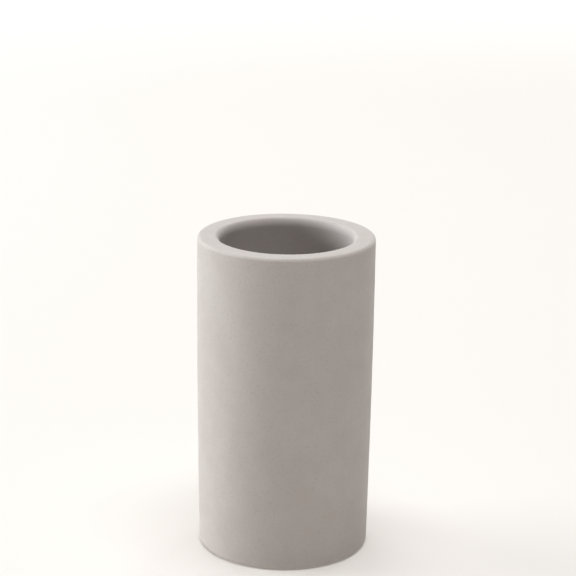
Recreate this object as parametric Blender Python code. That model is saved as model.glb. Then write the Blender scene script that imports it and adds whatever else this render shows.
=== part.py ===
"""A thick-walled toothbrush tumbler in cast stone, with a foam pad set in its underside.

Run it with blender --background --python part.py, or from the text editor.
Lengths are in metres and +Z is up. The origin is the centre of the pad's underside,
on the plane that the tumbler stands on.
"""
import math

import bmesh
import bpy
from mathutils import Vector

# The outside of the body
BODY_HEIGHT = 0.1195
RIM_RADIUS = 0.0330
OUTSIDE_DRAFT = 0.0010  # the radius is this much less at the bottom, so it leaves its mould
WALL_SWELL = 0.0003  # how far the wall bows out half way up, where a soft mould gives most
OUTER_RIM_ROUND = 0.0013
BOTTOM_EDGE_ROUND = 0.0010

# The hollow that the brushes stand in
WALL_AT_RIM = 0.0083
FLOOR_THICKNESS = 0.0100
BORE_DRAFT = 0.0006  # the bore's radius is this much less at the floor
INNER_LIP_WIDTH = 0.0018  # how much of the flat rim the soft inner edge takes
INNER_LIP_DEPTH = 0.0034  # how far down the bore the same edge runs out
FLOOR_CORNER_ROUND = 0.0040

# The pad, and the recess that it is glued into
FOOT_RING_WIDTH = 0.0055  # the stone left round the recess
PAD_THICKNESS = 0.0020
PAD_PROUD = 0.0005  # how far the pad stands out, so that it alone meets the shelf
PAD_EDGE_ROUND = 0.0003
RECESS_MOUTH_ROUND = 0.0004
SEAT_CLEARANCE = 0.0003  # round the pad, and the glue line above it

# How finely the round forms are cut
TURN_STEPS = 72
ARC_STEPS = 6
WALL_STEPS = 8
SHARP_EDGE = math.radians(35)

# Colours are linear red, green and blue
STONE_COLOUR = (0.50, 0.46, 0.43)
STONE_ROUGHNESS = 0.85
FOAM_COLOUR = (0.09, 0.09, 0.09)
FOAM_ROUGHNESS = 0.95


def clear_scene():
    """Remove whatever the scene holds, so that the model starts alone."""
    for thing in list(bpy.data.objects):
        bpy.data.objects.remove(thing)


def corner(radius, height, reach=0.0, reach_on=None):
    """A corner of a profile, and how far its rounding reaches back and on along the profile."""
    return Vector((radius, height)), reach, reach if reach_on is None else reach_on


def rounding(before, place, after, reach, reach_on):
    """Points of the quarter turn, round or oval, that eases the corner between two runs."""
    back = (before - place).normalized() * reach
    on = (after - place).normalized() * reach_on
    turns = [math.pi / 2 * step / ARC_STEPS for step in range(ARC_STEPS + 1)]
    return [place + back * (1 - math.sin(turn)) + on * (1 - math.cos(turn)) for turn in turns]


def profile(corners):
    """The points of a profile that runs from axis to axis, with its corners eased."""
    points = [corners[0][0]]
    for (before, _, _), (place, reach, reach_on), (after, _, _) in zip(corners, corners[1:], corners[2:]):
        points += rounding(before, place, after, reach, reach_on) if reach else [place]
    points.append(corners[-1][0])
    return points


def turned(name, corners, material):
    """Turn a profile once round the Z axis into one closed, smooth-shaded solid."""
    outline = bmesh.new()
    points = [outline.verts.new((point.x, 0, point.y)) for point in profile(corners)]
    runs = [outline.edges.new(ends) for ends in zip(points, points[1:])]
    bmesh.ops.spin(
        outline, geom=points + runs, cent=(0, 0, 0), axis=(0, 0, 1),
        angle=math.tau, steps=TURN_STEPS, use_merge=True,
    )
    bmesh.ops.remove_doubles(outline, verts=outline.verts, dist=1e-6)
    bmesh.ops.recalc_face_normals(outline, faces=outline.faces)
    mesh = bpy.data.meshes.new(name)
    outline.to_mesh(mesh)
    outline.free()
    mesh.materials.append(material)
    mesh.shade_smooth()
    mesh.set_sharp_from_angle(angle=SHARP_EDGE)
    bpy.context.collection.objects.link(bpy.data.objects.new(name, mesh))


def matte(name, colour, roughness):
    """A plain, non-metal surface."""
    material = bpy.data.materials.new(name)
    material.use_nodes = True
    surface = material.node_tree.nodes["Principled BSDF"]
    surface.inputs["Base Color"].default_value = (*colour, 1)
    surface.inputs["Roughness"].default_value = roughness
    surface.inputs["Metallic"].default_value = 0
    material.diffuse_color = (*colour, 1)
    return material


def recess_radius():
    """The recess runs under the body as far as the foot ring."""
    return RIM_RADIUS - OUTSIDE_DRAFT - FOOT_RING_WIDTH


def outside_wall(bottom, top):
    """The wall between rim and foot, which narrows by its draft and bows out by its swell."""
    corners = []
    for step in range(1, WALL_STEPS):
        down = step / WALL_STEPS
        bow = 4 * down * (1 - down)  # nothing at either end, and 1 half way
        radius = RIM_RADIUS - OUTSIDE_DRAFT * down + WALL_SWELL * bow
        corners.append(corner(radius, top + (bottom - top) * down))
    return corners


def tumbler_body():
    """The cast body: floor, bore, soft inner lip, flat rim, bowed outside and pad recess."""
    bottom = PAD_PROUD
    top = bottom + BODY_HEIGHT
    floor = bottom + FLOOR_THICKNESS
    bore = RIM_RADIUS - WALL_AT_RIM
    recess_roof = PAD_THICKNESS + SEAT_CLEARANCE
    corners = [
        corner(0, floor),
        corner(bore - BORE_DRAFT, floor, FLOOR_CORNER_ROUND),
        corner(bore, top, INNER_LIP_DEPTH, INNER_LIP_WIDTH),
        corner(RIM_RADIUS, top, OUTER_RIM_ROUND),
        *outside_wall(bottom, top),
        corner(RIM_RADIUS - OUTSIDE_DRAFT, bottom, BOTTOM_EDGE_ROUND),
        corner(recess_radius(), bottom, RECESS_MOUTH_ROUND),
        corner(recess_radius(), recess_roof),
        corner(0, recess_roof),
    ]
    turned("tumbler_body", corners, matte("warm_grey_stone", STONE_COLOUR, STONE_ROUGHNESS))


def base_pad():
    """The die-cut foam disc, glued into the recess and standing just proud of it."""
    radius = recess_radius() - SEAT_CLEARANCE
    corners = [
        corner(0, PAD_THICKNESS),
        corner(radius, PAD_THICKNESS),
        corner(radius, 0, PAD_EDGE_ROUND),
        corner(0, 0),
    ]
    turned("base_pad", corners, matte("grey_foam", FOAM_COLOUR, FOAM_ROUGHNESS))


clear_scene()
tumbler_body()
base_pad()
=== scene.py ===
# %% [markdown]
# This notebook dresses a heavy toothbrush tumbler: one thick-walled casting of fine stone mix, with
# a foam pad glued under it so that it doesn't scratch the shelf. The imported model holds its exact
# solids. They are loaded here as a fixed frame, a smoother surface is modelled over each of them,
# and both get their finish, a studio floor, soft light and a camera.

# %% Load the frame
import math

import bmesh
import bpy
from mathutils import Matrix, Vector


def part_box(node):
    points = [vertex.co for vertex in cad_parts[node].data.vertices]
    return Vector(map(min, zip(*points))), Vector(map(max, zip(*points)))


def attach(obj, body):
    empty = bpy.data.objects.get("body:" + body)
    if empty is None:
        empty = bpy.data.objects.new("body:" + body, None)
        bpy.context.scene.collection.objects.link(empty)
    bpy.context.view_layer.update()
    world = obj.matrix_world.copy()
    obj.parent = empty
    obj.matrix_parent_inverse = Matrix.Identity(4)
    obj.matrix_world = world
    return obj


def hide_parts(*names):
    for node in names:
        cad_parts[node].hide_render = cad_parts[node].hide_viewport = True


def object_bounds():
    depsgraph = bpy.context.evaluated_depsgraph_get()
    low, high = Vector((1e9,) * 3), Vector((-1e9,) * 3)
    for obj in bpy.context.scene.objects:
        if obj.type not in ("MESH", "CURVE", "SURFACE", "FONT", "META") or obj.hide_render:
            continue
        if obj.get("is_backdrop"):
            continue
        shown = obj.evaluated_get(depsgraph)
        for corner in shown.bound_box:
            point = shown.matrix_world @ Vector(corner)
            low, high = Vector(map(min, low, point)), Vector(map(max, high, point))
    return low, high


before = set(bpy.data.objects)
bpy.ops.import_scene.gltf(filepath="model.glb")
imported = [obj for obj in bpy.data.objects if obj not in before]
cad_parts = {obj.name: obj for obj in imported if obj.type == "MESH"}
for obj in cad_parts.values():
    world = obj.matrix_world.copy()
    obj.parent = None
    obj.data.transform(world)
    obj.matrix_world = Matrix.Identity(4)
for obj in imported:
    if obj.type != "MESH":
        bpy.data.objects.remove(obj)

MM = 0.001
cad_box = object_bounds()
print("solids:", sorted(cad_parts))
print("overall, mm:", [round(size / MM, 2) for size in cad_box[1] - cad_box[0]])

# %% [markdown]
# Both solids were turned round the Z axis, so each is a stack of rings, and a ring is known by its
# radius and its height. Reading the rings from the frame gives every size of the casting: how thick
# its wall is, how far each edge is rounded, how deep its bore goes. Nothing is typed in twice, and
# if the solids change, the surface modelled here follows them.

# %% Read the rings of the turned solids
MICRON = 1e-6
MICRON_PLACES = 6


def to_micron(size):
    """A size in metres, to the nearest micron."""
    return round(size, MICRON_PLACES)


def rings(node):
    """The rings of a turned solid as (radius, height), each once."""
    places = [corner.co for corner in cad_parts[node].data.vertices]
    return sorted({(to_micron(place.xy.length), to_micron(place.z)) for place in places})


body_rings = rings("tumbler_body")
pad_rings = rings("base_pad")
print("rings:", len(body_rings), "on the body,", len(pad_rings), "on the pad")

# %% [markdown]
# The casting has two flat faces, the rim on top and the foot below, and each is known by the radii
# of its two edges. Every rounding lies within a few millimetres of one of these faces, so the rings
# near them are the roundings and the rest are the plain walls.

# %% Find the flat faces and sort the rings
EDGE_ZONE = 6 * MM


def radii_at(ring_list, height):
    """The radii of the rings that lie at one height, smallest first."""
    return [radius for radius, place in ring_list if abs(place - height) <= MICRON]


bottom, top = (corner.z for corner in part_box("tumbler_body"))
rim_flat, foot_flat = radii_at(body_rings, top), radii_at(body_rings, bottom)
near_top = [ring for ring in body_rings if ring[1] > top - EDGE_ZONE]
near_bottom = [ring for ring in body_rings if ring[1] < bottom + EDGE_ZONE]
between = [ring for ring in body_rings if bottom + EDGE_ZONE < ring[1] < top - EDGE_ZONE]
print("rings near the top:", len(near_top), "and near the bottom:", len(near_bottom))
print("rings between them:", len(between))

# %% [markdown]
# The outside narrows a little towards the foot, or it wouldn't come out of its mould, and bows out
# by a hair half way up, where a soft mould gives under the wet mix. The rings between rim and foot
# say by how much.

# %% Measure the outside of the casting
def lowest(ring_list):
    """The ring of a list that lies lowest."""
    return min(ring_list, key=lambda ring: ring[1])


def highest(ring_list):
    """The ring of a list that lies highest."""
    return max(ring_list, key=lambda ring: ring[1])


rim_radius, rim_end = lowest([ring for ring in near_top if ring[0] > rim_flat[-1]])
base_radius, foot_end = highest([ring for ring in near_bottom if ring[0] > foot_flat[-1]])
rim_round, base_round = top - rim_end, foot_end - bottom
wall_rings = sorted((ring for ring in between if ring[0] > foot_flat[-1]), key=lambda ring: ring[1])

print(f"rim radius {rim_radius / MM:.2f}, rim round {rim_round / MM:.2f} mm")
print(f"base radius {base_radius / MM:.2f}, base round {base_round / MM:.2f} mm")
print("rings of the wall between them:", len(wall_rings))

# %% [markdown]
# The bore is measured the same way. Its inner edge is no plain quarter circle: it takes less of the
# flat rim than it runs down into the bore, so its width and its depth are two sizes.

# %% Measure the bore
bore_radius, lip_end = lowest([ring for ring in near_top if ring[0] < rim_flat[0]])
lip_width, lip_depth = rim_flat[0] - bore_radius, top - lip_end

bore_rings = [ring for ring in between if ring[0] < bore_radius]
cup_floor = lowest(bore_rings)[1]
bore_floor_radius = highest(bore_rings)[0]
floor_round = bore_floor_radius - radii_at(bore_rings, cup_floor)[-1]

print(f"bore radius {bore_radius / MM:.2f} at the rim, {bore_floor_radius / MM:.2f} mm at its floor")
print(f"lip {lip_width / MM:.2f} mm wide and {lip_depth / MM:.2f} mm deep")
print(f"floor round {floor_round / MM:.2f} mm")

# %% [markdown]
# The recess under the foot is shallow and straight, with only its mouth eased. The pad sits in it
# with a little room all round for the glue.

# %% Measure the recess and the pad
recess_rings = [ring for ring in near_bottom if MM < ring[0] < foot_flat[0]]
recess_radius, recess_roof = min(recess_rings)[0], highest(recess_rings)[1]
mouth_round = foot_flat[0] - recess_radius

pad_bottom, pad_top = (corner.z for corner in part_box("base_pad"))
pad_radius = max(radius for radius, height in pad_rings)
pad_round = pad_radius - radii_at(pad_rings, pad_bottom)[-1]

print(f"recess radius {recess_radius / MM:.2f}, depth {(recess_roof - bottom) / MM:.2f} mm")
print(f"pad radius {pad_radius / MM:.2f}, thickness {(pad_top - pad_bottom) / MM:.2f} mm")

# %% [markdown]
# A turned piece starts as a cylinder of its full radius, added at its height. In the viewport this
# is Add, Mesh, Cylinder, with its vertices, radius and depth typed into the panel. Its location is
# applied, so that the object's own origin stays at the centre of the tumbler's foot and the place
# of the piece is in its mesh. The spin operator could turn the whole profile in one go, but with a
# blank each edge and hollow can be shaped, and understood, by itself.

# %% Add the blank for the body
SIDES = 192


def add_blank(name, radius, low, high):
    """A closed cylinder from one height to another, named, with edit mode on."""
    bpy.ops.object.select_all(action="DESELECT")
    middle = (0, 0, (low + high) / 2)
    bpy.ops.mesh.primitive_cylinder_add(
        vertices=SIDES, radius=radius, depth=high - low, location=middle)
    piece = bpy.context.object
    piece.name = piece.data.name = name
    bpy.ops.object.transform_apply(location=True, rotation=True, scale=True)
    bpy.ops.object.mode_set(mode="EDIT")
    print(f"{name}: a blank {2 * radius / MM:.1f} mm across and {(high - low) / MM:.1f} mm tall")
    return piece


stone_body = add_blank("stone_body", rim_radius, bottom, top)

# %% [markdown]
# Blender's mesh operators act on whatever is selected, and with no window nobody can click on an
# edge. Edges and faces are selected by their place instead, and each selection says how many it
# found, so that a miss shows at once in the printed text. The first is the blank's lower ring.

# %% Choose the lower ring
NEAR = 0.05 * MM


def choose(piece, kind, wanted):
    """In edit mode, select only the faces or the edges that a test picks out."""
    bpy.ops.mesh.select_mode(type=kind)
    bpy.ops.mesh.select_all(action="DESELECT")
    mesh = bmesh.from_edit_mesh(piece.data)
    chosen = [item for item in (mesh.faces if kind == "FACE" else mesh.edges) if wanted(item)]
    for item in chosen:
        item.select_set(True)
    bmesh.update_edit_mesh(piece.data)
    print(f"  {piece.name}: {len(chosen)} {kind.lower()}s selected")


def ring(radius, height):
    """A test for the edges of one ring."""
    def on_it(corner):
        return abs(corner.co.xy.length - radius) < NEAR and abs(corner.co.z - height) < NEAR
    return lambda edge: all(on_it(corner) for corner in edge.verts)


choose(stone_body, "EDGE", ring(rim_radius, bottom))

# %% [markdown]
# That ring is drawn in for the draft that lets the casting out of its mould. A ring is centred on
# the Z axis, so scaling it in X and Y alone keeps it round and at its height.

# %% Draw in the foot
def scale_selected(factor):
    """Draw the selected ring in towards the Z axis, or push it out."""
    bpy.ops.transform.resize(value=(factor, factor, 1))


scale_selected(base_radius / rim_radius)
print(f"foot drawn in by {(rim_radius - base_radius) / MM:.2f} mm")

# %% [markdown]
# Next the wall gets its slight bow. The tall edges are subdivided into as many rings as the solid
# has between rim and foot, and each ring is pushed out to the radius that the solid has there. Done
# by eye, it would be a loop cut and a scale for each ring.

# %% Bow the wall
def rises(least):
    """A test for the edges that climb by more than a height."""
    return lambda edge: abs(edge.verts[0].co.z - edge.verts[1].co.z) > least


choose(stone_body, "EDGE", rises(EDGE_ZONE))
bpy.ops.mesh.subdivide(number_cuts=len(wall_rings))
for radius, height in wall_rings:
    straight = base_radius + (rim_radius - base_radius) * (height - bottom) / (top - bottom)
    choose(stone_body, "EDGE", ring(straight, height))
    scale_selected(radius / straight)

# %% [markdown]
# The body is one casting, so it stays one mesh. The top face is inset by the thickness of the wall
# and pushed down the whole depth of the bore, and its ring is drawn in for the bore's own draft. A
# Boolean with a second cylinder would cut the same hole, but it leaves faces that are harder to
# bevel.

# %% Hollow the bore
def flat_end(height):
    """A test for the many-sided flat face that closes a turned piece at one height."""
    return lambda face: len(face.verts) == SIDES and abs(face.calc_center_median().z - height) < NEAR


choose(stone_body, "FACE", flat_end(top))
bpy.ops.mesh.inset(thickness=rim_radius - bore_radius)
bpy.ops.mesh.extrude_region_move(TRANSFORM_OT_translate={"value": (0, 0, cup_floor - top)})
scale_selected(bore_floor_radius / bore_radius)

# %% [markdown]
# The same two steps, inset and extrude, sink the shallow seat for the pad into the underside. What
# is left round it is the foot ring.

# %% Sink the recess for the pad
choose(stone_body, "FACE", flat_end(bottom))
bpy.ops.mesh.inset(thickness=base_radius - recess_radius)
bpy.ops.mesh.extrude_region_move(TRANSFORM_OT_translate={"value": (0, 0, recess_roof - bottom)})

# %% [markdown]
# What makes the real tumbler pleasant is its edges. The outer rim is rounded by little more than a
# millimetre, and the foot stays crisp. The floor of the bore can't be seen in the picture, and it
# gets a wide cove to the wall, which is easy to wipe. Each is one bevel on one ring of edges, with
# enough faces across it to read as an arc from close by. A profile of 0.5 makes that arc part of a
# circle.

# %% Round the edges of the casting
RIM_ARC, FOOT_ARC, MOUTH_ARC, COVE_ARC, LIP_ARC = 10, 8, 5, 12, 18
ROUND_PROFILE = 0.5


def round_off(piece, radius, height, size, faces):
    """Bevel one ring of edges into an arc of so many faces."""
    choose(piece, "EDGE", ring(radius, height))
    bpy.ops.mesh.bevel(
        offset_type="OFFSET", offset=size, segments=faces, profile=ROUND_PROFILE, affect="EDGES")


round_off(stone_body, rim_radius, top, rim_round, RIM_ARC)
round_off(stone_body, base_radius, bottom, base_round, FOOT_ARC)
round_off(stone_body, recess_radius, bottom, mouth_round, MOUTH_ARC)
round_off(stone_body, bore_floor_radius, cup_floor, floor_round, COVE_ARC)
round_off(stone_body, bore_radius, top, lip_width, LIP_ARC)

# %% [markdown]
# The inner lip runs deeper than it is wide. It has had the same round bevel as the rest, and now
# the faces that the bevel made are stretched down from the rim's own height, which turns their
# quarter circle into a quarter of an oval.

# %% Stretch the inner lip down into the bore
def lip_face(face):
    """True for the faces of the bevel on the inner lip."""
    middle = face.calc_center_median()
    return middle.xy.length < bore_radius + lip_width and middle.z > top - lip_width - NEAR


choose(stone_body, "FACE", lip_face)
bpy.ops.transform.resize(value=(1, 1, lip_depth / lip_width), center_override=(0, 0, top))

# %% [markdown]
# So far the faces of the walls are tall. A cast surface is never that flat, and to give it its
# slight waves the mesh needs corners to move. The tall edges of the bore and of the wall are
# subdivided, and so are the short spokes of the rim and of the foot ring.

# %% Give the walls and the flats enough rings
BORE_CUTS = 64
WALL_CUTS = 7
FLAT_CUTS = 3


def spoke(height):
    """A test for the edges that run in towards the axis at one height."""
    def across(edge):
        one, other = (corner.co for corner in edge.verts)
        level = abs(one.z - height) < NEAR and abs(other.z - height) < NEAR
        return level and abs(one.xy.length - other.xy.length) > MM
    return across


for wanted, cuts in ((rises((top - bottom) / 2), BORE_CUTS), (rises(EDGE_ZONE), WALL_CUTS),
                     (spoke(top), FLAT_CUTS), (spoke(bottom), FLAT_CUTS)):
    choose(stone_body, "EDGE", wanted)
    bpy.ops.mesh.subdivide(number_cuts=cuts)

# %% [markdown]
# Two round faces are left, the floor of the bore and the roof of the recess. Each gets a few inset
# rings and a poke, which closes it with triangles at the centre, so that no face has hundreds of
# sides. Then everything is turned to face outwards and shaded smooth, except across sharp edges.

# %% Close the round ends and finish the body
BORE_FLOOR_RINGS = 9
RECESS_ROOF_RINGS = 11
SHARP_EDGE = math.radians(40)


def ring_the_end(piece, height, radius, count):
    """Inset a round end a few times, then poke its middle."""
    choose(piece, "FACE", flat_end(height))
    for _ in range(count):
        bpy.ops.mesh.inset(thickness=radius / (count + 1))
    bpy.ops.mesh.poke()


def finish_modelling(piece):
    """Face everything outwards, leave edit mode and shade smooth."""
    bpy.ops.mesh.select_all(action="SELECT")
    bpy.ops.mesh.normals_make_consistent(inside=False)
    bpy.ops.object.mode_set(mode="OBJECT")
    bpy.ops.object.shade_smooth_by_angle(angle=SHARP_EDGE)
    print(f"{piece.name}: {len(piece.data.polygons)} faces")


ring_the_end(stone_body, cup_floor, bore_floor_radius - floor_round, BORE_FLOOR_RINGS)
ring_the_end(stone_body, recess_roof, recess_radius, RECESS_ROOF_RINGS)
finish_modelling(stone_body)

# %% [markdown]
# A hand-filled mould leaves a skin that waves by a tenth of a millimetre or so. You don't see it as
# a shape, but it makes the soft light drift over the wall in faint clouds. A Displace modifier does
# it, from Blender's procedural clouds texture. Its mid level is 1, so that the skin only ever sinks
# in and the casting keeps its outer size.

# %% Let the cast skin wave a little
SKIN_WAVE = 0.10 * MM
SKIN_WAVE_WIDTH = 12 * MM
SKIN_WAVE_DETAIL = 1
SINK_ONLY = 1

cast_skin = bpy.data.textures.new("cast_skin", "CLOUDS")
cast_skin.noise_scale = SKIN_WAVE_WIDTH
cast_skin.noise_depth = SKIN_WAVE_DETAIL

bpy.ops.object.modifier_add(type="DISPLACE")
wave = stone_body.modifiers[-1]
wave.texture = cast_skin
wave.texture_coords = "LOCAL"
wave.strength = SKIN_WAVE
wave.mid_level = SINK_ONLY
bpy.ops.object.modifier_apply(modifier=wave.name)
print("height of the body now, mm:", round(stone_body.dimensions.z / MM, 3))

# %% [markdown]
# The picture doesn't show the underside, so the pad is the kind that such tumblers often have, cut
# from a sheet of closed-cell foam with a round die. Its edge is square at the top, where it is
# glued, and a little round at the bottom, where the weight presses it. It is the same work as on
# the body, only smaller: a blank, one bevel, and a few rings in each round face.

# %% Model the foam pad
PAD_ARC = 5
PAD_FACE_RINGS = 6

foam_pad = add_blank("foam_pad", pad_radius, pad_bottom, pad_top)
round_off(foam_pad, pad_radius, pad_bottom, pad_round, PAD_ARC)
ring_the_end(foam_pad, pad_top, pad_radius, PAD_FACE_RINGS)
ring_the_end(foam_pad, pad_bottom, pad_radius - pad_round, PAD_FACE_RINGS)
finish_modelling(foam_pad)

# %% [markdown]
# Stone and foam have effects in common: both are a little cloudy, both have a fine grain, both have
# small round holes, and both look a little different along their edges. So each effect is a node
# group, built once, with named inputs that each material sets for itself. The groups read Object
# coordinates, which are metres on the real tumbler, so a size typed in is a real size. They put out
# only masks and heights that vary over the surface; the shader stays in each material. The first
# group is for clouds, and the size of a patch is its one number.

# %% Node group: clouds
def new_group(name, inputs, outputs):
    """A shader node group with number inputs and outputs, and a vector input for the place."""
    group = bpy.data.node_groups.new(name, "ShaderNodeTree")
    group.interface.new_socket("Place", in_out="INPUT", socket_type="NodeSocketVector")
    for label, value in inputs.items():
        socket = group.interface.new_socket(label, in_out="INPUT", socket_type="NodeSocketFloat")
        socket.default_value = value
    for label in outputs:
        group.interface.new_socket(label, in_out="OUTPUT", socket_type="NodeSocketFloat")
    print("node group:", name, "gives", outputs)
    given, made = group.nodes.new("NodeGroupInput"), group.nodes.new("NodeGroupOutput")
    return group, given.outputs, made.inputs


clouds_group, given, made = new_group("Clouds", {"Patch Size": 20 * MM}, ["Clouds"])

# %% [markdown]
# A noise texture is scaled by how many lumps it has to the metre, which is 1 divided by the size of
# one. In the shader editor a Math node does that sum, with a wire or a typed number in each of its
# two sockets, and the two helpers here do the same.

# %% Clouds: how many patches to the metre
FINER_PATCHES = 3.1


def feed(tree, socket, value):
    """Link a socket into another one, or set it to a number or a colour."""
    if isinstance(value, bpy.types.NodeSocket):
        tree.links.new(value, socket)
    else:
        socket.default_value = value


def math_node(tree, operation, first, second):
    """A Math node fed by sockets or numbers; its result socket is returned."""
    node = tree.nodes.new("ShaderNodeMath")
    node.operation = operation
    feed(tree, node.inputs[0], first)
    feed(tree, node.inputs[1], second)
    return node.outputs[0]


patches_per_metre = math_node(clouds_group, "DIVIDE", 1, given["Patch Size"])
finer_per_metre = math_node(clouds_group, "MULTIPLY", patches_per_metre, FINER_PATCHES)
print("clouds: small patches are", FINER_PATCHES, "times finer than broad ones")

# %% [markdown]
# Clouds are two noises, one of broad patches and one of small ones, averaged. With one alone the
# patches would all be of a size, which stone never is.

# %% Clouds: broad and small patches
BROAD_DETAIL, SMALL_DETAIL = 2, 3
PATCH_ROUGHNESS = 0.5


def noise(tree, place, scale, detail, roughness=PATCH_ROUGHNESS):
    """A noise texture whose scale comes from a socket, as lumps to the metre."""
    node = tree.nodes.new("ShaderNodeTexNoise")
    feed(tree, node.inputs["Vector"], place)
    feed(tree, node.inputs["Scale"], scale)
    feed(tree, node.inputs["Detail"], detail)
    feed(tree, node.inputs["Roughness"], roughness)
    return node.outputs["Fac"]


broad = noise(clouds_group, given["Place"], patches_per_metre, BROAD_DETAIL)
small = noise(clouds_group, given["Place"], finer_per_metre, SMALL_DETAIL)
average = math_node(clouds_group, "DIVIDE", math_node(clouds_group, "ADD", broad, small), 2)
print("clouds:", len(clouds_group.nodes), "nodes so far")

# %% [markdown]
# A noise keeps close to its middle value, so the average is stretched to run the whole way from 0
# to 1. A Map Range node does it, and its smooth step leaves no hard edge round a patch.

# %% Clouds: the full range
NOISE_LOW, NOISE_HIGH = 0.36, 0.64


def remap(tree, value, low, high, to_low=0.0, to_high=1.0):
    """A Map Range node that eases from one value to another between two levels."""
    node = tree.nodes.new("ShaderNodeMapRange")
    node.interpolation_type = "SMOOTHSTEP"
    for label, level in (("Value", value), ("From Min", low), ("From Max", high),
                         ("To Min", to_low), ("To Max", to_high)):
        feed(tree, node.inputs[label], level)
    return node.outputs["Result"]


clouds_group.links.new(remap(clouds_group, average, NOISE_LOW, NOISE_HIGH), made["Clouds"])
print("clouds:", NOISE_LOW, "to", NOISE_HIGH, "becomes 0 to 1")

# %% [markdown]
# Grain is what remains of the sand in the mix. A noise at the size of the grains gives the height
# that catches the light, and Voronoi cells of the same size, each with a random shade, give the
# specks.

# %% Node group: grain
GRAIN_DETAIL, GRAIN_ROUGHNESS = 2, 0.6


def random_cells(tree, place, scale):
    """Voronoi cells: how far the middle of each is, and two random numbers that belong to it."""
    node = tree.nodes.new("ShaderNodeTexVoronoi")
    feed(tree, node.inputs["Vector"], place)
    feed(tree, node.inputs["Scale"], scale)
    numbers = tree.nodes.new("ShaderNodeSeparateColor")
    tree.links.new(node.outputs["Color"], numbers.inputs["Color"])
    return node.outputs["Distance"], numbers.outputs["Red"], numbers.outputs["Green"]


grain_group, given, made = new_group("Grain", {"Grain Size": 0.6 * MM}, ["Height", "Specks"])
grains_per_metre = math_node(grain_group, "DIVIDE", 1, given["Grain Size"])
sandy = noise(grain_group, given["Place"], grains_per_metre, GRAIN_DETAIL, GRAIN_ROUGHNESS)
_, shade, _ = random_cells(grain_group, given["Place"], grains_per_metre)
grain_group.links.new(sandy, made["Height"])
grain_group.links.new(shade, made["Specks"])

# %% [markdown]
# Holes are the marks of air bubbles. Voronoi cells are spaced through the solid, only a share of
# them hold a bubble, and the surface cuts each bubble where it happens to, so the holes come out
# in many sizes, from half the given width to one and a half times it. The first output is 1 in a
# hole and falls softly to 0 at its edge. The second is its opposite, the height of the skin that
# is left.

# %% Node group: holes
SMALLEST_BUBBLE = 0.5
STEEP_EDGE = 0.55

holes_group, given, made = new_group(
    "Holes", {"Spacing": 6 * MM, "Share": 0.3, "Width": 0.8 * MM}, ["Holes", "Skin"])
cells_per_metre = math_node(holes_group, "DIVIDE", 1, given["Spacing"])
distance, chance, girth = random_cells(holes_group, given["Place"], cells_per_metre)
holds_bubble = math_node(holes_group, "LESS_THAN", chance, given["Share"])
half_width = math_node(holes_group, "DIVIDE", given["Width"], 2)
usual_reach = math_node(holes_group, "MULTIPLY", half_width, cells_per_metre)
own_size = math_node(holes_group, "ADD", girth, SMALLEST_BUBBLE)
own_reach = math_node(holes_group, "MULTIPLY", usual_reach, own_size)
inner_reach = math_node(holes_group, "MULTIPLY", own_reach, STEEP_EDGE)
hollow = remap(holes_group, distance, inner_reach, own_reach, to_low=1.0, to_high=0.0)
holes = math_node(holes_group, "MULTIPLY", hollow, holds_bubble)
holes_group.links.new(holes, made["Holes"])
holes_group.links.new(math_node(holes_group, "SUBTRACT", 1, holes), made["Skin"])

# %% [markdown]
# Edges are touched more than anything else. On a turned piece an edge is a ring, so how near a
# point is to it needs only the point's own radius and height. The mask is 1 close to the ring and
# fades to 0 at the reach.

# %% Node group: edge
FULL_RUB = 0.25


def length(tree, place):
    """The length of a vector, by a Vector Math node."""
    node = tree.nodes.new("ShaderNodeVectorMath")
    node.operation = "LENGTH"
    tree.links.new(place, node.inputs[0])
    return node.outputs["Value"]


def flat_vector(tree, first, second):
    """A vector of two sockets and a zero."""
    node = tree.nodes.new("ShaderNodeCombineXYZ")
    tree.links.new(first, node.inputs["X"])
    tree.links.new(second, node.inputs["Y"])
    return node.outputs[0]


edge_group, given, made = new_group(
    "Edge", {"Ring Radius": 30 * MM, "Ring Height": 0.0, "Reach": 2 * MM}, ["Edge"])
parts = edge_group.nodes.new("ShaderNodeSeparateXYZ")
edge_group.links.new(given["Place"], parts.inputs[0])
radius_here = length(edge_group, flat_vector(edge_group, parts.outputs["X"], parts.outputs["Y"]))
sideways = math_node(edge_group, "SUBTRACT", radius_here, given["Ring Radius"])
upwards = math_node(edge_group, "SUBTRACT", parts.outputs["Z"], given["Ring Height"])
gap = length(edge_group, flat_vector(edge_group, sideways, upwards))
full = math_node(edge_group, "MULTIPLY", given["Reach"], FULL_RUB)
fading = remap(edge_group, gap, full, given["Reach"], to_low=1.0, to_high=0.0)
edge_group.links.new(fading, made["Edge"])

# %% [markdown]
# The stone is a warm, pale grey, smooth and matte. Its material starts with the patterns that its
# colour and its skin share: broad clouds, grains of under half a millimetre, and a few pinholes no
# wider than a pencil point. The picture is too coarse to show the grains and the pinholes, so they
# have the sizes that are usual in fine castings, and they are kept faint.

# %% The cast stone: its patterns
def new_material(name):
    """A material with its Principled shader, and the place on the piece to read patterns at."""
    material = bpy.data.materials.new(name)
    material.use_nodes = True
    tree = material.node_tree
    place = tree.nodes.new("ShaderNodeTexCoord").outputs["Object"]
    return material, tree, tree.nodes["Principled BSDF"].inputs, place


def add_group(tree, group, place, **values):
    """Place a node group in a material and set its inputs; its outputs are returned."""
    node = tree.nodes.new("ShaderNodeGroup")
    node.node_tree = group
    tree.links.new(place, node.inputs["Place"])
    for label, value in values.items():
        node.inputs[label.replace("_", " ")].default_value = value
    return node.outputs


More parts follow.
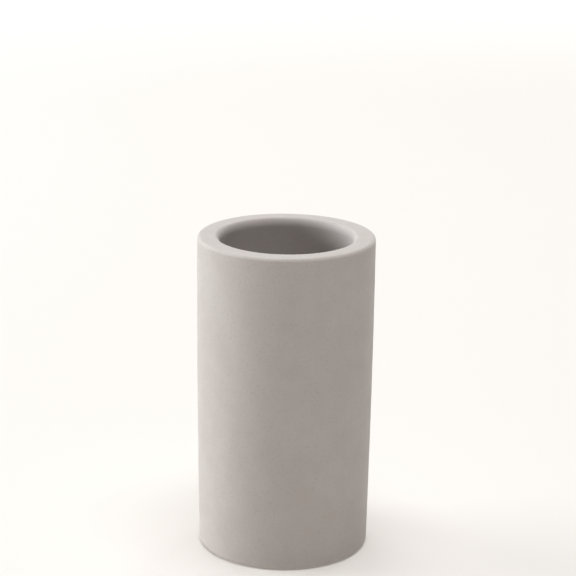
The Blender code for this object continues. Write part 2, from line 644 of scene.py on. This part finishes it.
cast_stone, tree, surface, place = new_material("cast_stone")
patches = add_group(tree, clouds_group, place, Patch_Size=22 * MM)["Clouds"]
grain = add_group(tree, grain_group, place, Grain_Size=0.45 * MM)
pinholes = add_group(tree, holes_group, place, Spacing=5 * MM, Share=0.35, Width=0.35 * MM)
print("patterns of the stone:", [node.node_tree.name for node in tree.nodes if node.type == "GROUP"])

# %% [markdown]
# The picture shows no wear. But the outer edges of the rim and the foot are where hands and shelves
# touch a tumbler, so there the stone is a shade paler and smoother, too little to see from a step
# away. The clouds break the mask up, so that it doesn't run round like a painted line.

# %% The cast stone: its rubbed edges
RUB_REACH = 3 * MM
RUB_WHERE_DENSE, RUB_WHERE_OPEN = 0.7, 0.2

rim_edge = add_group(
    tree, edge_group, place, Ring_Radius=rim_radius, Ring_Height=top, Reach=RUB_REACH)
foot_edge = add_group(
    tree, edge_group, place, Ring_Radius=base_radius, Ring_Height=bottom, Reach=RUB_REACH)
edges = math_node(tree, "MAXIMUM", rim_edge["Edge"], foot_edge["Edge"])
rub_here = remap(tree, patches, 0.0, 1.0, RUB_WHERE_DENSE, RUB_WHERE_OPEN)
rubbed = math_node(tree, "MULTIPLY", edges, rub_here)
print(f"edges rubbed over {RUB_REACH / MM:.0f} mm")

# %% [markdown]
# The colour is laid on in steps. The clouds shift it by a few per cent between a lighter and a
# browner grey, the rubbed edges are a little paler, one grain in five is darker, and the pinholes
# get painted shade, a darker colour in each hole where a real one would be in shade.

# %% The cast stone: its colour
STONE_PALE = (0.592, 0.545, 0.517)
STONE_WARM = (0.570, 0.520, 0.489)
STONE_RUBBED = (0.601, 0.551, 0.520)
STONE_SPECK = (0.496, 0.449, 0.416)
# The pinholes' colour below is painted shade, darker where a hole would be in shade.
PINHOLE_PAINTED_SHADE = (0.318, 0.281, 0.257)
SPECK_SHARE, SPECK_STRENGTH = 0.20, 0.5


def mix_colour(tree, mask, first, second):
    """Blend from the first colour to the second by a mask. Either may be a socket or a colour."""
    node = tree.nodes.new("ShaderNodeMix")
    node.data_type = "RGBA"
    tree.links.new(mask, node.inputs["Factor"])
    colour_inputs = [socket for socket in node.inputs if socket.type == "RGBA"]
    for socket, colour in zip(colour_inputs, (first, second)):
        feed(tree, socket, (*colour, 1) if isinstance(colour, tuple) else colour)
    return next(socket for socket in node.outputs if socket.type == "RGBA")


ground = mix_colour(tree, patches, STONE_PALE, STONE_WARM)
handled = mix_colour(tree, rubbed, ground, STONE_RUBBED)
specks = remap(tree, grain["Specks"], 1 - SPECK_SHARE, 1.0, 0.0, SPECK_STRENGTH)
speckled = mix_colour(tree, specks, handled, STONE_SPECK)
# Painted shade: the pinholes are coloured darker, in place of the shade inside them.
tree.links.new(mix_colour(tree, pinholes["Holes"], speckled, PINHOLE_PAINTED_SHADE), surface["Base Color"])
print("pale stone, linear:", STONE_PALE)

# %% [markdown]
# There is no gloss: roughness stays high and only wanders with the clouds, a shade smoother where
# the skin is dense and pale, and where it is rubbed. The skin itself is two bumps, grain under
# pinholes. A Bump node's distance is in metres too, so the depth of a pinhole is its real depth.

# %% The cast stone: its skin
ROUGH_PALE, ROUGH_WARM = 0.72, 0.82
RUBBED_SMOOTHER = 0.10
GRAIN_DEPTH = 0.012 * MM
PINHOLE_DEPTH = 0.25 * MM


def bump(tree, height, depth, under=None):
    """A Bump node of a real depth in metres, laid over another bump's normal if there is one."""
    node = tree.nodes.new("ShaderNodeBump")
    node.inputs["Distance"].default_value = depth
    tree.links.new(height, node.inputs["Height"])
    if under is not None:
        tree.links.new(under, node.inputs["Normal"])
    return node.outputs["Normal"]


cast_roughness = remap(tree, patches, 0.0, 1.0, ROUGH_PALE, ROUGH_WARM)
smoother = math_node(tree, "MULTIPLY", rubbed, RUBBED_SMOOTHER)
tree.links.new(math_node(tree, "SUBTRACT", cast_roughness, smoother), surface["Roughness"])
grainy = bump(tree, grain["Height"], GRAIN_DEPTH)
tree.links.new(bump(tree, pinholes["Skin"], PINHOLE_DEPTH, grainy), surface["Normal"])

stone_body.data.materials.append(cast_stone)
print("finish:", cast_stone.name, "with", len(tree.nodes), "nodes")

# %% [markdown]
# The foam is a dark charcoal closed-cell sheet. Its cells are far closer together than the stone's
# pinholes and cover the whole face, so the same Holes group is used with a share of 1 and a small
# spacing, and each cut cell gets painted shade, a darker colour. Its edge, which is pressed hardest
# on the shelf, picks up pale dust.

# %% The pad's foam: its colour
FOAM_FACE = (0.062, 0.061, 0.060)
FOAM_WORN = (0.087, 0.086, 0.084)
FOAM_DUSTY = (0.140, 0.136, 0.130)
# The cells' colour is painted shade, darker where a cut cell would be in shade.
FOAM_CELL_PAINTED_SHADE = (0.023, 0.022, 0.022)
DUST_REACH = 2 * MM
DUST_STRENGTH = 0.6

charcoal_foam, tree, surface, place = new_material("charcoal_foam")
worn = add_group(tree, clouds_group, place, Patch_Size=12 * MM)["Clouds"]
fuzz = add_group(tree, grain_group, place, Grain_Size=0.25 * MM)
foam_cells = add_group(tree, holes_group, place, Spacing=0.7 * MM, Share=1.0, Width=0.5 * MM)
pad_edge = add_group(
    tree, edge_group, place, Ring_Radius=pad_radius, Ring_Height=pad_bottom, Reach=DUST_REACH)
worn_edge = math_node(tree, "MULTIPLY", pad_edge["Edge"], worn)
dust = math_node(tree, "MULTIPLY", worn_edge, DUST_STRENGTH)

face = mix_colour(tree, dust, mix_colour(tree, worn, FOAM_FACE, FOAM_WORN), FOAM_DUSTY)
# Painted shade: each cut cell is coloured darker than the face round it.
tree.links.new(mix_colour(tree, foam_cells["Holes"], face, FOAM_CELL_PAINTED_SHADE), surface["Base Color"])
print("foam, linear:", FOAM_FACE)

# %% [markdown]
# Foam is dull all over, a shade less so where it is worn. Its bumps are a fine nap and the cut
# cells.

# %% The pad's foam: its skin
ROUGH_FACE, ROUGH_WORN = 0.90, 0.80
NAP_DEPTH = 0.02 * MM
CELL_DEPTH = 0.15 * MM

tree.links.new(remap(tree, worn, 0.0, 1.0, ROUGH_FACE, ROUGH_WORN), surface["Roughness"])
nap = bump(tree, fuzz["Height"], NAP_DEPTH)
tree.links.new(bump(tree, foam_cells["Skin"], CELL_DEPTH, nap), surface["Normal"])

foam_pad.data.materials.append(charcoal_foam)
print("finish:", charcoal_foam.name, "with", len(tree.nodes), "nodes")

# %% [markdown]
# The new surfaces stand for the two solids, which stay in the model for weight and contact. Both
# ride on the part's one body, because nothing on a tumbler moves.

# %% Put the pieces on the frame
for piece, node, slot in ((stone_body, "tumbler_body", "warm_grey_stone"),
                          (foam_pad, "base_pad", "grey_foam")):
    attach(piece, "root")
    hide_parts(node)
    print(piece.name, "stands for", node, "in", slot)

# %% [markdown]
# The floor is a plain sheet of pale paper, wide enough to fill the whole picture. It is a circle of
# edges that is extruded and scaled out, and it keeps a round opening under the foot, out of sight
# from above, so that a camera below the floor can look up at the foot ring and the pad. An open
# sheet has no outside, so its faces are turned up afterwards if they came out facing down.

# %% The studio floor
FLOOR_SIDES = 96
FLOOR_RADIUS = 8.0
OPENING_MARGIN = 1.5 * MM
FLOOR_OPENING = recess_radius + OPENING_MARGIN

bpy.ops.object.select_all(action="DESELECT")
bpy.ops.mesh.primitive_circle_add(vertices=FLOOR_SIDES, radius=FLOOR_OPENING, fill_type="NOTHING")
floor = bpy.context.object
floor.name = floor.data.name = "studio_floor"
bpy.ops.object.mode_set(mode="EDIT")
bpy.ops.mesh.select_all(action="SELECT")
bpy.ops.mesh.extrude_edges_move()
scale_selected(FLOOR_RADIUS / FLOOR_OPENING)
bpy.ops.mesh.select_all(action="SELECT")
bpy.ops.mesh.normals_make_consistent(inside=False)
bpy.ops.object.mode_set(mode="OBJECT")
if floor.data.polygons[0].normal.z < 0:
    floor.data.flip_normals()
floor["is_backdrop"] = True
print("floor:", len(floor.data.polygons), "faces,", 2 * FLOOR_RADIUS, "m across")

# %% [markdown]
# In a studio the paper further back has lamps of its own, so that it stays white to the horizon.
# Here the floor glows by itself, hardly at all near the tumbler and fully from a few steps away.

# %% The floor's finish
FLOOR_PALE = (0.722, 0.690, 0.657)
GLOW_NEAR = (0.180, 0.172, 0.164)
GLOW_FAR = (1.0, 1.0, 1.0)
GLOW_STARTS, GLOW_FULL = 0.8, 3.0

studio_paper, tree, surface, place = new_material("studio_paper")
surface["Base Color"].default_value = (*FLOOR_PALE, 1)
surface["Roughness"].default_value = 1
surface["Specular IOR Level"].default_value = 0
surface["Emission Strength"].default_value = 1
far_off = remap(tree, length(tree, place), GLOW_STARTS, GLOW_FULL)
tree.links.new(mix_colour(tree, far_off, GLOW_NEAR, GLOW_FAR), surface["Emission Color"])
floor.data.materials.append(studio_paper)
print(f"the floor glows from {GLOW_STARTS} m, fully from {GLOW_FULL} m")

# %% [markdown]
# The paper's underside is see-through, or a view from below would show only paper. The Geometry
# node's Backfacing output says which side a ray meets, and it picks between the paper and nothing.

# %% The floor's underside
meets_back = tree.nodes.new("ShaderNodeNewGeometry").outputs["Backfacing"]
either = tree.nodes.new("ShaderNodeMixShader")
tree.links.new(meets_back, either.inputs[0])
tree.links.new(tree.nodes["Principled BSDF"].outputs[0], either.inputs[1])
tree.links.new(tree.nodes.new("ShaderNodeBsdfTransparent").outputs[0], either.inputs[2])
tree.links.new(either.outputs[0], tree.nodes["Material Output"].inputs["Surface"])
print("finish:", studio_paper.name, "with", len(tree.nodes), "nodes")

# %% [markdown]
# The shading in the picture is what a large softbox overhead and a second one low on the left, like
# a window, would give. A softbox is an area light: the larger it is, the softer its shadows. Each
# is placed on a circle round the tumbler, turned so that it faces it, and hidden from the camera.
# The one on the left is a touch cooler than the one overhead, as daylight is.

# %% The main softboxes
LIGHT_AIM = Vector((0, 0, 0.07))
LIGHT_DISTANCE = 2.6
LAMP_WHITE = (1.0, 1.0, 1.0)
DAYLIGHT = (0.94, 0.98, 1.0)


def softbox(name, colour, watts, azimuth, elevation, width, height, distance=LIGHT_DISTANCE):
    """An area light on a circle round the tumbler. Azimuth 0 is the camera's side and 90 the left."""
    side, rise = math.radians(azimuth), math.radians(elevation)
    away = Vector((-math.sin(side) * math.cos(rise), -math.cos(side) * math.cos(rise), math.sin(rise)))
    light = bpy.data.lights.new(name, "AREA")
    light.shape = "RECTANGLE"
    light.size, light.size_y = width, height
    light.energy = watts
    light.color = colour
    lamp = bpy.data.objects.new(name, light)
    bpy.context.collection.objects.link(lamp)
    lamp.location = LIGHT_AIM + away * distance
    lamp.rotation_euler = (-away).to_track_quat("-Z", "Y").to_euler()
    lamp.visible_camera = False
    print(f"{name}: {watts} W at", [round(place, 2) for place in lamp.location])


softbox("overhead_softbox", LAMP_WHITE, watts=58, azimuth=325, elevation=83, width=1.6, height=1.6)
softbox("left_softbox", DAYLIGHT, watts=58, azimuth=103, elevation=12, width=1.8, height=0.8)

# %% [markdown]
# Behind the tumbler a wide panel and a low strip brighten the rim and both edges of the wall, as a
# white room would. One small panel lies under the floor and lights the pad for a view from below.
# The floor hides it from every other view.

# %% The panels behind and below
softbox("back_panel", DAYLIGHT, watts=19, azimuth=160, elevation=40, width=1.6, height=2.0)
softbox("back_strip", DAYLIGHT, watts=15, azimuth=210, elevation=12, width=0.8, height=0.8)
softbox("under_panel", LAMP_WHITE, watts=1.2, azimuth=0, elevation=-75, width=0.5, height=0.5,
        distance=0.8)

# %% [markdown]
# Beyond the floor there is only the world. The camera sees it as white, like the floor, and it adds
# a trace of light from all round so that no side of the tumbler goes black. Colours are shown as
# they are, by the Standard view, and not toned like a film.

# %% The world
ROOM_WHITE = (1, 1, 1, 1)
ROOM_LIGHT = 0.01

world = bpy.data.worlds.new("white_room")
bpy.context.scene.world = world
world.use_nodes = True
tree = world.node_tree
room = tree.nodes["Background"]
room.inputs["Color"].default_value = ROOM_WHITE
room.inputs["Strength"].default_value = ROOM_LIGHT
backdrop = tree.nodes.new("ShaderNodeBackground")
backdrop.inputs["Color"].default_value = ROOM_WHITE
by_ray = tree.nodes.new("ShaderNodeMixShader")
tree.links.new(tree.nodes.new("ShaderNodeLightPath").outputs["Is Camera Ray"], by_ray.inputs[0])
tree.links.new(room.outputs[0], by_ray.inputs[1])
tree.links.new(backdrop.outputs[0], by_ray.inputs[2])
tree.links.new(by_ray.outputs[0], tree.nodes["World Output"].inputs["Surface"])
bpy.context.scene.view_settings.view_transform = "Standard"
print("world:", world.name, "with strength", ROOM_LIGHT)

# %% [markdown]
# The camera looks down a little on the tumbler from the front. Its tilt comes from how round the
# rim looks, its distance from how much narrower the foot looks than the rim, and its slight roll
# from the lean of the tumbler in the picture. A tumbler stands upright, so the lean is taken to be
# the camera's.

# %% The camera
CAMERA_TILT = math.radians(16.53)
CAMERA_ROLL = math.radians(0.77)
CAMERA_TURN = math.radians(0.062)
CAMERA_DISTANCE = 0.7642
AIM_HEIGHT = 0.0997
FOCAL_LENGTH, SENSOR_WIDTH = 128.7, 36

camera = bpy.data.objects.new("camera", bpy.data.cameras.new("camera"))
bpy.context.collection.objects.link(camera)
camera.data.sensor_width = SENSOR_WIDTH
camera.data.lens = FOCAL_LENGTH
back = Vector((0, -math.cos(CAMERA_TILT), math.sin(CAMERA_TILT)))
camera.matrix_world = (
    Matrix.Translation(Vector((0, 0, AIM_HEIGHT)) + back * CAMERA_DISTANCE)
    @ Matrix.Rotation(-CAMERA_TURN, 4, "Z")
    @ Matrix.Rotation(math.pi / 2 - CAMERA_TILT, 4, "X")
    @ Matrix.Rotation(CAMERA_ROLL, 4, "Z")
)
bpy.context.scene.camera = camera
print("camera at, m:", [round(place, 3) for place in camera.location])

# %% [markdown]
# Last, the size of the dressed tumbler is written beside the size of the solids, to see that no
# surface has grown past them.

# %% Compare the sizes and finish
visual_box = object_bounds()
for name, box in (("solids", cad_box), ("surfaces", visual_box)):
    print(name, "from and to, mm:", [[round(place / MM, 2) for place in corner] for corner in box])
